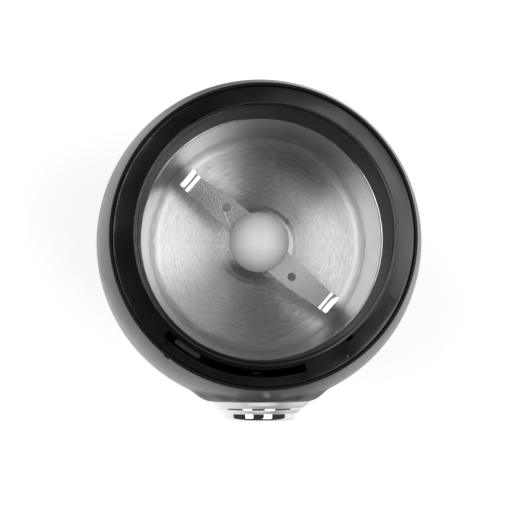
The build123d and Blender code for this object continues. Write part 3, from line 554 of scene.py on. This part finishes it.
def tidy_mesh(obj):
    """Close seams and poles, and turn all faces outwards."""
    edit(obj)
    bpy.ops.mesh.select_all(action="SELECT")
    bpy.ops.mesh.remove_doubles(threshold=MERGE_DISTANCE)
    bpy.ops.mesh.dissolve_degenerate(threshold=TINY_EDGE)
    bpy.ops.mesh.normals_make_consistent(inside=False)
    bpy.ops.object.mode_set(mode="OBJECT")


def smooth(obj, angle=35):
    """Smooth shading, with edges sharper than an angle kept crisp."""
    choose(obj)
    bpy.ops.object.shade_smooth_by_angle(angle=radians(angle))


def turned(name, section, steps=128, centre=(0, 0, 0), axis="Z"):
    """Spin a closed section. It is (radius, height) round Z, or (radius, y) round a Y axis."""
    if axis == "Z":
        places = [Vector((a, 0, b)) * MM for a, b in section]
        around = (0, 0, 1)
    else:
        places = [Vector((a, b, centre[2])) * MM for a, b in section]
        around = (0, 1, 0)
    places.append(places[0])
    bpy.ops.object.select_all(action="DESELECT")
    bpy.ops.mesh.primitive_plane_add(size=MM, location=places[0])
    obj = name_piece(name)
    edit(obj)
    bpy.ops.mesh.select_all(action="SELECT")
    bpy.ops.mesh.merge(type="CENTER")
    for here, there in zip(places, places[1:]):
        bpy.ops.mesh.extrude_region_move(TRANSFORM_OT_translate={"value": there - here})
    bpy.ops.mesh.select_all(action="SELECT")
    bpy.ops.mesh.spin(steps=steps, angle=tau, center=Vector(centre) * MM, axis=around)
    tidy_mesh(obj)
    return obj


def finish_piece(obj, body, finish, *nodes):
    """A finished piece rides on its body, wears its finish and stands for its nodes."""
    dress(obj, finish)
    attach(obj, body)
    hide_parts(*nodes)
    print(obj.name, "faces:", len(obj.data.polygons))


def cut(obj, cutter, operation="DIFFERENCE"):
    """Take one shape out of a piece, or melt it in, and delete the tool."""
    choose(obj)
    step = obj.modifiers.new("cut", "BOOLEAN")
    step.operation = operation
    step.solver = "MANIFOLD"
    step.object = cutter
    bpy.ops.object.modifier_apply(modifier=step.name)
    bpy.data.objects.remove(cutter)


def soften(obj, width, angle=40, segments=2):
    """A narrow bevel on all edges sharper than an angle. Faces in one plane are joined first."""
    edit(obj)
    bpy.ops.mesh.select_all(action="SELECT")
    bpy.ops.mesh.dissolve_limited(angle_limit=SAME_PLANE)
    choose(obj)
    step = obj.modifiers.new("soften", "BEVEL")
    step.width = width * MM
    step.segments = segments
    step.limit_method = "ANGLE"
    step.angle_limit = radians(angle)
    bpy.ops.object.modifier_apply(modifier=step.name)


def sector(name, inner, outer, start, sweep, low, high, steps=24, slope=0.0):
    """A block with arc-shaped sides: an upright face, spun through part of a turn round Z.
    The outer edge of its top may be a little lower, by a slope in mm."""
    middle = Vector(((inner + outer) / 2, 0, (low + high) / 2)) * MM
    bpy.ops.object.select_all(action="DESELECT")
    bpy.ops.mesh.primitive_plane_add(size=MM, location=middle, rotation=(pi / 2, 0, 0))
    block = name_piece(name)
    edit(block)
    bpy.ops.mesh.select_all(action="SELECT")
    bpy.ops.transform.resize(value=(outer - inner, 1, high - low), center_override=middle)
    pick_points(block, lambda co: co.x > middle.x and co.z > middle.z)
    bpy.ops.transform.translate(value=(0, 0, -slope * MM))
    bpy.ops.mesh.select_all(action="SELECT")
    bpy.ops.mesh.spin(steps=steps, angle=-radians(sweep), center=(0, 0, 0), axis=(0, 0, 1))
    tidy_mesh(block)
    block.rotation_euler.z = radians(start)
    bpy.ops.object.transform_apply(location=True, rotation=True, scale=True)
    return block


def rod(name, radius, low, high, place=(0, 0), steps=48):
    """An upright round tool or pin."""
    bpy.ops.object.select_all(action="DESELECT")
    bpy.ops.mesh.primitive_cylinder_add(
        vertices=steps, radius=radius * MM, depth=(high - low) * MM,
        location=Vector((*place, (low + high) / 2)) * MM)
    return name_piece(name)


def level_rod(name, radius, near, far, height, steps=64):
    """A round tool that lies along Y."""
    bpy.ops.object.select_all(action="DESELECT")
    bpy.ops.mesh.primitive_cylinder_add(
        vertices=steps, radius=radius * MM, depth=abs(far - near) * MM,
        location=Vector((0, (near + far) / 2, height)) * MM, rotation=(pi / 2, 0, 0))
    return name_piece(name)


def on_circle(radius, degrees):
    """A place on a circle round the Z axis."""
    return radius * cos(radians(degrees)), radius * sin(radians(degrees))


def bored_post(name, radius, low, high, bore, bore_end, place):
    """An upright round post with a blind hole from below for a screw."""
    post = rod(name, radius, low, high, place, steps=24)
    cut(post, rod("pilot_hole", bore, low - 1, bore_end, place, steps=16))
    return post


print("a rounded corner has", ARC_STEPS, "steps")

# %% [markdown]
# ## The body
# The body is a barrel, moulded in one go with 2 mm walls. Its outline is two shallow arcs that meet at the
# belly. At the front it swells softly into a round flat for the button. By hand that is one move: the
# points inside the flat are scaled to nothing along Y, and proportional editing drags their neighbours.

# %% Body shell
shell_low, shell_high = node_box("outer_shell")
shell_bottom = shell_low[Z]
seam_height = shell_high[Z]
belly_radius = high_reach[X]
belly_height = 72.0
base_radius = 44.0
shell_top_radius = 43.2
seam_radius = 42.4
ledge_bottom = seam_height - 2.6
lining_gap = 0.5
shell_wall = 2.0
shell_edge, shoulder_edge, seam_edge = 0.4, 0.2, 0.12
rows = 72


def barrel(height, inset):
    """The barrel's radius at a height, less an inset."""
    end_radius, end = shell_top_radius, seam_height
    if height < belly_height:
        end_radius, end = base_radius, shell_bottom
    drop = belly_radius - end_radius
    arc = (drop**2 + (end - belly_height) ** 2) / (2 * drop)
    return belly_radius - arc + sqrt(arc**2 - (height - belly_height) ** 2) - inset


heights = [shell_bottom + (seam_height - shell_bottom) * k / rows for k in range(rows + 1)]
outside = [(barrel(h, 0), h, 0) for h in heights[1:-1]]
inside = [(barrel(h, shell_wall), h, 0) for h in reversed(heights[:-1]) if h < ledge_bottom - lining_gap]
shell_section = rounded(
    [(barrel(shell_bottom, 0), shell_bottom, shell_edge)] + outside
    + [(shell_top_radius, seam_height, shoulder_edge), (seam_radius, seam_height, seam_edge),
       (seam_radius, ledge_bottom, 0), (barrel(ledge_bottom, shell_wall), ledge_bottom, 0)]
    + inside)
shell = turned("outer_shell_barrel", shell_section, steps=288)


def press_flat(obj, flat_y, height, radius, falloff, test):
    """Press a round flat into one side of a wall, with a soft edge. Other faces are hidden meanwhile."""
    pick_points(obj, lambda co: not test(co))
    bpy.ops.mesh.hide(unselected=False)
    bpy.ops.object.mode_set(mode="OBJECT")
    for point in obj.data.vertices:
        near = sqrt(point.co.x**2 + (point.co.z - height * MM) ** 2) < radius * MM
        point.select = near and not point.hide
    bpy.ops.object.mode_set(mode="EDIT")
    bpy.ops.transform.resize(
        value=(1, 0, 1), center_override=Vector((0, flat_y, height)) * MM,
        use_proportional_edit=True, proportional_edit_falloff="SMOOTH",
        proportional_size=falloff * MM)
    bpy.ops.mesh.reveal(select=False)
    bpy.ops.object.mode_set(mode="OBJECT")


def on_skin(side):
    """A test for points of the outer skin on one side of the body, front (-1) or rear (+1)."""
    def test(co):
        reach = sqrt(co.x**2 + co.y**2) / MM
        height = min(max(co.z / MM, shell_bottom), seam_height)
        return co.y * side > 0 and reach > barrel(height, shell_wall / 2)
    return test


def on_lining(side):
    """A test for points of the inner wall on one side of the body."""
    skin = on_skin(side)
    return lambda co: co.y * side > 0 and not skin(co)


button_height = 82.0
button_flat = -47.3
pad_radius, lining_pad_radius, pad_falloff = 15.6, 15.0, 7.0
inlet_height = 14.0
inlet_flat = 45.2
inlet_pad_radius, inlet_falloff = 6.5, 3.0

press_flat(shell, button_flat, button_height, pad_radius, pad_falloff, on_skin(-1))
press_flat(shell, button_flat + shell_wall, button_height, lining_pad_radius, pad_falloff, on_lining(-1))
press_flat(shell, inlet_flat, inlet_height, inlet_pad_radius, inlet_falloff, on_skin(1))
print("shell points:", len(shell.data.vertices))

# %% [markdown]
# ### Holes in the body
# A Boolean modifier takes out the round holes for the button and the cord, and a small notch in the
# shoulder that shows where the lid's mark has to point. Inside, four bosses take the base screws.

# %% Cut the body and add the screw bosses
button_hole_radius = 12.0
inlet_hole_radius = 4.5
hole_inner_end, hole_outer_end = 38, 52
mark_inner, mark_outer = 43.25, 44.3
mark_angle, mark_sweep = 230.0, 2.5
mark_low, mark_high = 112.5, 116.0
boss_circle = 38.6
boss_radius, boss_low, boss_high = 3.0, 6.5, 22.5
boss_bore, boss_bore_end = 1.5, 14.0

cut(shell, level_rod("button_hole", button_hole_radius, -hole_outer_end, -hole_inner_end, button_height))
cut(shell, level_rod("inlet_hole", inlet_hole_radius, hole_inner_end, hole_outer_end, inlet_height))
cut(shell, sector("lid_mark", mark_inner, mark_outer, mark_angle, mark_sweep, mark_low, mark_high, steps=4))
for angle in (45, 135, 225, 315):
    boss = bored_post("screw_boss", boss_radius, boss_low, boss_high, boss_bore, boss_bore_end,
                      on_circle(boss_circle, angle))
    cut(shell, boss, "UNION")
smooth(shell, 30)
finish_piece(shell, "housing", body_gloss, "outer_shell")

# %% [markdown]
# ## The lid seat ring
# The black ring inside the seam is a flat ledge with an upright neck. The lid turns onto two lugs outside
# the neck, and a tongue on the lid reaches down through the long slot. The lugs and the slot are sectors:
# an upright face, spun through a few degrees. Thin grooves show where the mould's pieces met.

# %% Lid seat ring
ring_low, ring_high = node_box("lid_seat_ring")
lip_height = ring_high[Z]
post_bottom = ring_low[Z]
neck_inner, neck_outer = 35.0, 36.1
neck_bottom = 100.5
ledge_outer = ring_high[X]
ledge_edge = 0.2
shoulder_rise = 0.2
shoulder_steps = 12
ledge_rim = seam_height - shoulder_rise
shoulder = []
for k in range(1, shoulder_steps):
    share = 1 - k / shoulder_steps
    shoulder.append((neck_outer + (ledge_outer - neck_outer) * share,
                     ledge_rim + shoulder_rise * (1 - share**2), 0))
ring = turned("lid_seat_ring_moulding", rounded(
    [(neck_inner, neck_bottom, 0.2), (neck_outer, neck_bottom, 0.2), (neck_outer, ledge_bottom, 0),
     (ledge_outer, ledge_bottom, 0.1), (ledge_outer, ledge_rim, ledge_edge)] + shoulder
    + [(neck_outer, seam_height, 0.3), (neck_outer, lip_height, 0.5), (neck_inner, lip_height, 0.45)]),
    steps=288)

tool_low, tool_high = ledge_bottom - 1.6, seam_height + 3
lug_low, lug_high, lug_reach, lug_slope = 118.7, 120.7, 1.1, 0.11
lug_sweep, relief_sweep = 18, 3.4
relief_lead = 5.6
relief_inner, relief_outer = neck_outer + 0.3, neck_outer + 1.7
lug_angles = (134.5, 323.0)
for angle in lug_angles:
    lug_start = angle - lug_sweep / 2
    cut(ring, sector("lug", neck_outer - 0.2, neck_outer + lug_reach, lug_start, lug_sweep,
                     lug_low, lug_high, slope=lug_slope), "UNION")
    cut(ring, sector("relief", relief_inner, relief_outer, lug_start - relief_lead, relief_sweep,
                     tool_low, tool_high, steps=4))

slot_inner, slot_outer, slot_start, slot_sweep = 37.4, 39.6, 225, 62.5
seat_outer, seat_start, seat_sweep, seat_depth = 41.2, 227, 11.5, 2.0
cut(ring, sector("slot", slot_inner, slot_outer, slot_start, slot_sweep, tool_low, tool_high, steps=84))
cut(ring, sector("tongue_seat", slot_outer - 0.1, seat_outer, seat_start, seat_sweep,
                 seam_height - seat_depth, tool_high, steps=12))
joint_inner, joint_outer, joint_sweep, joint_depth = 38.8, 41.7, 0.3, 0.4
joint_angles = (118.5, 305.0, 334.0)
for angle in joint_angles:
    cut(ring, sector("joint_line", joint_inner, joint_outer, angle, joint_sweep,
                     seam_height - joint_depth, tool_high, steps=2))

post_circle, post_radius, post_bore, post_bore_depth = 39.4, 2.1, 1.1, 7
for angle in (30, 150, 210, 330):
    post = bored_post("screw_post", post_radius, post_bottom, ledge_bottom + 0.5, post_bore,
                      post_bottom + post_bore_depth, on_circle(post_circle, angle))
    cut(ring, post, "UNION")
soften(ring, 0.12)
smooth(ring, 20)
finish_piece(ring, "housing", ring_gloss, "lid_seat_ring")

# %% [markdown]
# ## The cup
# The cup is one sheet of stainless steel, 0.6 mm thick, pressed and spun. Its section is a line from the
# raised hub over the floor and up the wall to the rim. A second line, one sheet away, closes it.

# %% Grinding cup
hub_hole, hub_radius, hub_foot = 6.0, 10.9, 12.2
hub_top = cup_floor + 2.3
hub_bend = 0.4
floor_radius, floor_bend = 32.5, 3.2
mouth_radius, mouth_bend = 34.8, 0.5
rim_height, rim_radius = cup_high[Z], cup_high[X]


def sheet_section(chain, thickness):
    """Close a chain of points with a copy that lies to its right, one sheet away."""
    other = []
    for i, here in enumerate(chain):
        along = (chain[min(i + 1, len(chain) - 1)] - chain[max(i - 1, 0)]).normalized()
        other.append(here + Vector((along.y, -along.x)) * thickness)
    return list(chain) + other[::-1]


cup_chain = rounded([
    (hub_hole, hub_top, 0), (hub_radius, hub_top, hub_bend), (hub_foot, cup_floor, hub_bend),
    (floor_radius, cup_floor, floor_bend), (mouth_radius, rim_height, mouth_bend),
    (rim_radius, rim_height, 0)], closed=False)
cup = turned("spun_cup", sheet_section(cup_chain, cup_sheet), steps=288)
smooth(cup, 30)
finish_piece(cup, "housing", cup_steel, "grinding_cup")

# %% [markdown]
# ## The blade
# The blade is stamped from 1.5 mm sheet. Each arm starts as a block at the hub and is pulled outwards,
# narrower at every station. The last face is then turned upwards round the bend in small steps, first
# slowly and then tightly, and pulled up to make the tip. A small bevel on every edge gives the bright
# lines along the arms. The arms are bevelled before they join the hub, so that the flats stay flat.

# %% Blade
blade_bottom = node_box("blade")[0][Z]
cap_low, cap_high = node_box("blade_cap")
blade_top = cap_low[Z]
sheet = blade_top - blade_bottom
arm_start, arm_end = 3.0, 7.0
root_lead, root_trail = -5.0, 3.4
stations = ((15.7, -4.75, 3.02), (25.4, -3.4, 2.6))
bends = ((4.0, 25, 3), (0.4, 65, 4))
tip_top = 89.0
tip_slope = 0.4
arm_hole, arm_hole_place = 1.25, (14.2, -1.5)
arm_edge = 0.16
arm_angles = (139.5, 319.5)
blade_hub, blade_bore = 6.4, 2.5


def turn_up(start):
    """Turn the selected end face upwards round the bends (radius, degrees, steps). Return the place
    where the upper skin ends."""
    skin, lean = start, 0
    for bend_radius, sweep, steps in bends:
        centre = skin + Vector((-sin(radians(lean)), 0, cos(radians(lean)))) * bend_radius
        for k in range(steps):
            bpy.ops.mesh.extrude_region_move(TRANSFORM_OT_translate={"value": (0, 0, 0)})
            bpy.ops.transform.rotate(
                value=radians(sweep / steps), orient_axis="Y", center_override=centre * MM)
        lean += sweep
        skin = centre + Vector((sin(radians(lean)), 0, -cos(radians(lean)))) * bend_radius
    return skin


def blade_arm(name):
    """One arm along X, before it is turned to its place."""
    end, lead, trail = arm_end, root_lead, root_trail
    middle = Vector(((arm_start + end) / 2, (lead + trail) / 2, (blade_bottom + blade_top) / 2)) * MM
    bpy.ops.object.select_all(action="DESELECT")
    bpy.ops.mesh.primitive_cube_add(size=MM, location=middle, scale=(end - arm_start, trail - lead, sheet))
    arm = name_piece(name)
    edit(arm, "FACE")
    bpy.ops.object.mode_set(mode="OBJECT")
    for face in arm.data.polygons:
        face.select = face.normal.x > 0.9
    bpy.ops.object.mode_set(mode="EDIT")
    for reach, new_lead, new_trail in stations:
        bpy.ops.mesh.extrude_region_move(TRANSFORM_OT_translate={"value": Vector((reach - end, 0, 0)) * MM})
        old_middle = (lead + trail) / 2
        bpy.ops.transform.resize(
            value=(1, (new_trail - new_lead) / (trail - lead), 1),
            center_override=Vector((reach, old_middle, middle.z / MM)) * MM)
        bpy.ops.transform.translate(value=Vector((0, (new_lead + new_trail) / 2 - old_middle, 0)) * MM)
        end, lead, trail = reach, new_lead, new_trail
    skin = turn_up(Vector((end, 0, blade_top)))
    rise = Vector((0, 0, tip_top - skin.z)) * MM
    bpy.ops.mesh.extrude_region_move(TRANSFORM_OT_translate={"value": rise})
    # The end of the tip is ground off, so that it slopes inwards
    middle_of_tip = (skin.x + sheet / 2) * MM
    pick_points(arm, lambda co: co.x < middle_of_tip and co.z > (tip_top - 0.1) * MM)
    bpy.ops.transform.translate(value=(0, 0, -tip_slope * MM))
    bpy.ops.object.mode_set(mode="OBJECT")
    print("arm reaches", round(max(v.co.x for v in arm.data.vertices) / MM, 2), "mm")
    return arm


blade = rod("blade_stamping", blade_hub, blade_bottom, blade_top, steps=96)
for turn_angle in arm_angles:
    arm = blade_arm("arm")
    cut(arm, rod("arm_hole", arm_hole, blade_bottom - 1, blade_top + 1, arm_hole_place, steps=40))
    soften(arm, arm_edge)
    arm.rotation_euler.z = radians(turn_angle)
    bpy.ops.object.transform_apply(location=True, rotation=True, scale=True)
    cut(blade, arm, "UNION")
cut(blade, rod("shaft_hole", blade_bore, blade_bottom - 1, blade_top + 1, steps=40))
smooth(blade, 20)
finish_piece(blade, "rotor", blade_steel, "blade")

# %% [markdown]
# ## The cap
# A milky dome hides the nut. It is a half ball on a short straight edge, hollow underneath.

# %% Blade cap
cap_radius = 9.0
cap_top = cap_high[Z]
cap_spring = cap_top - cap_radius
hollow_top, hollow_shoulder = 89.7, 88.6
hollow_flat, hollow_radius = 2.5, 5.6
dome_steps = 24
dome = []
for k in range(dome_steps):
    swing = pi / 2 * k / dome_steps
    dome.append((cap_radius * cos(swing), cap_spring + cap_radius * sin(swing), 0))
cap = turned("blade_cap_dome", rounded(
    [(cap_radius, blade_top, 0.25)] + dome
    + [(0.0, cap_top, 0), (0.0, hollow_top, 0), (hollow_flat, hollow_top, 0),
       (hollow_radius, hollow_shoulder, 0), (hollow_radius, blade_top, 0.15)]), steps=96)
smooth(cap, 40)
finish_piece(cap, "rotor", cap_white, "blade_cap")

# %% [markdown]
# ## The button and its bezel
# Both are turned round the button's own axis, which lies along Y. The bezel is stepped: a wide cone that
# starts on the flat, a narrow groove, and a second cone up to its lip. The button has a tight rounded
# edge and a very shallow dish for the fingertip. A leg hangs from it inside the body and works the switch.

# %% Bezel and button
button_axis = (0, 0, button_height)
spigot_end = -42.0
bezel_bore, spigot_radius = 10.9, 11.8
lip_radius, lip_front = 11.4, -51.0
groove_radius, groove_front, groove_back = 12.9, -49.7, -49.3
step_radius = 13.3
knee_radius, knee_front, knee_round = 14.6, -48.4, 0.8
flange_radius = 15.8
bezel = turned("button_bezel_ring", rounded([
    (bezel_bore, spigot_end, 0.1), (bezel_bore, lip_front, 0.12), (lip_radius, lip_front, 0.2),
    (groove_radius, groove_front, 0.12), (groove_radius, groove_back, 0.05),
    (step_radius, groove_back, 0.05), (knee_radius, knee_front, knee_round),
    (flange_radius, button_flat, 0), (spigot_radius, button_flat, 0), (spigot_radius, spigot_end, 0.1)]),
    steps=160, centre=button_axis, axis="Y")
smooth(bezel, 25)
finish_piece(bezel, "housing", chrome_trim, "button_bezel")

button_radius = 10.6
button_front = low_reach[Y]
button_wall = 2.1
button_inside = button_front + button_wall
inside_radius = 8.9
collar_radius, collar_front, collar_back = 11.7, -41.7, -40.5
dish_depth = 0.4
dish_radius = 9.8
dish_steps = 8
dish = []
for k in range(dish_steps + 1):
    share = k / dish_steps
    dish.append((dish_radius * share, button_front + dish_depth * (1 - share**2), 0))
edge_radius = button_radius - dish_radius
edge_steps = 10
edge = []
for k in range(1, edge_steps + 1):
    swing = pi / 2 * k / edge_steps
    edge.append((dish_radius + edge_radius * sin(swing), button_front + edge_radius * (1 - cos(swing)), 0))
button = turned("power_button_cap", rounded(
    dish + edge + [(button_radius, collar_front, 0), (collar_radius, collar_front, 0.2),
                   (collar_radius, collar_back, 0.2), (inside_radius, collar_back, 0),
                   (inside_radius, button_inside, 0), (0.0, button_inside, 0)]),
    steps=160, centre=button_axis, axis="Y")
leg_size = (6.0, 1.2, 18.4)
leg_bottom = node_box("power_button")[0][Z]
leg_middle = Vector((0, (collar_front + collar_back) / 2, leg_bottom + leg_size[Z] / 2))
bpy.ops.object.select_all(action="DESELECT")
bpy.ops.mesh.primitive_cube_add(size=MM, location=leg_middle * MM, scale=leg_size)
leg = name_piece("leg")
soften(leg, 0.3)
cut(button, leg, "UNION")
smooth(button, 35)
finish_piece(button, "button", chrome_trim, "power_button")

# %% [markdown]
# ## Springs
# A spring is a small ring of points, screwed along its axis. The frame has plain tubes in their place.
# Two of the springs get shorter as the button or the interlock is pressed; each of these two gets a mesh of
# its own.

# %% Coil springs
wire = 0.7
wire_sides = 10
steps_per_turn = 24


def coil(name, middle_radius, length, turns, place, direction):
    """A coil spring from a place along a direction."""
    bpy.ops.object.select_all(action="DESELECT")
    bpy.ops.mesh.primitive_circle_add(
        vertices=wire_sides, radius=wire / 2 * MM, location=(middle_radius * MM, 0, wire / 2 * MM),
        rotation=(pi / 2, 0, 0))
    obj = name_piece(name)
    step = obj.modifiers.new("turns", "SCREW")
    step.axis = "Z"
    step.iterations = turns
    step.screw_offset = (length - wire) / turns * MM
    step.steps = steps_per_turn
    step.render_steps = steps_per_turn
    step.use_merge_vertices = True
    bpy.ops.object.modifier_apply(modifier=step.name)
    edit(obj)
    bpy.ops.mesh.select_non_manifold()
    bpy.ops.mesh.fill()
    bpy.ops.mesh.select_all(action="SELECT")
    bpy.ops.mesh.normals_make_consistent(inside=False)
    bpy.ops.object.mode_set(mode="OBJECT")
    obj.rotation_mode = "QUATERNION"
    obj.rotation_quaternion = Vector(direction).to_track_quat("Z", "Y")
    obj.location = Vector(place) * MM
    bpy.ops.object.transform_apply(location=True, rotation=True, scale=True)
    smooth(obj, 50)
    return obj


low_corner, high_corner = node_box("button_spring")
button_spring_length = high_corner[Y] - low_corner[Y]
button_spring_seat = (0, high_corner[Y], button_height)
button_coil = coil("button_spring_coil", middle_radius=3.25, length=button_spring_length, turns=6,
                   place=button_spring_seat, direction=(0, -1, 0))
finish_piece(button_coil, "housing", spring_steel, "button_spring")
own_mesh(button_coil)

low_corner, high_corner = node_box("interlock_spring")
interlock_spring_length = high_corner[Z] - low_corner[Z]
interlock_circle, interlock_angle = 38.9, 236
interlock_seat = (*on_circle(interlock_circle, interlock_angle), low_corner[Z])
interlock_coil = coil("interlock_spring_coil", middle_radius=0.95, length=interlock_spring_length, turns=5,
                      place=interlock_seat, direction=(0, 0, 1))
finish_piece(interlock_coil, "housing", spring_steel, "interlock_spring")
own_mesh(interlock_coil)

low_corner, high_corner = node_box("brush_spring_right")
brush_middle = (low_corner[Z] + high_corner[Z]) / 2
brush_length = high_corner[X] - low_corner[X]
for side, word in ((1, "right"), (-1, "left")):
    brush_coil = coil(f"brush_spring_{word}_coil", middle_radius=2.05, length=brush_length, turns=5,
                      place=(side * low_corner[X], 0, brush_middle), direction=(side, 0, 0))
    finish_piece(brush_coil, "housing", spring_steel, f"brush_spring_{word}")

# %% [markdown]
# ## Underneath and behind
# The grinder stands on a rubber ring with rounded edges. Behind, a rubber gland lines the hole for the
# cord.

# %% Foot ring and cord gland
foot_inner, foot_outer = 31.0, 35.2
foot_top = node_box("foot_ring")[1][Z]
foot = turned("rubber_foot_ring", rounded([
    (foot_inner, foot_top, 0.1), (foot_inner, 0.0, 0.5),
    (foot_outer, 0.0, 0.5), (foot_outer, foot_top, 0.1)]), steps=160)
smooth(foot, 40)
finish_piece(foot, "housing", foot_rubber, "foot_ring")

gland_low, gland_high = node_box("cord_inlet")
gland_bore, gland_neck, gland_collar, gland_nose = 3.0, 4.4, 6.2, 4.6
neck_length, nose_length = 4.0, 0.42
gland_inner, gland_outer = gland_low[Y], gland_high[Y]
gland_seat = gland_inner + neck_length
collar_end = gland_outer - nose_length
gland = turned("cord_gland", rounded([
    (gland_bore, gland_inner, 0.2), (gland_neck, gland_inner, 0.2), (gland_neck, gland_seat, 0),
    (gland_collar, gland_seat, 0.1), (gland_collar, collar_end, 0.5), (gland_nose, gland_outer, 0.4),
    (gland_bore, gland_outer, 0.3)]),
    steps=96, centre=(0, 0, inlet_height), axis="Y")
smooth(gland, 40)
finish_piece(gland, "housing", seal_rubber, "cord_inlet")
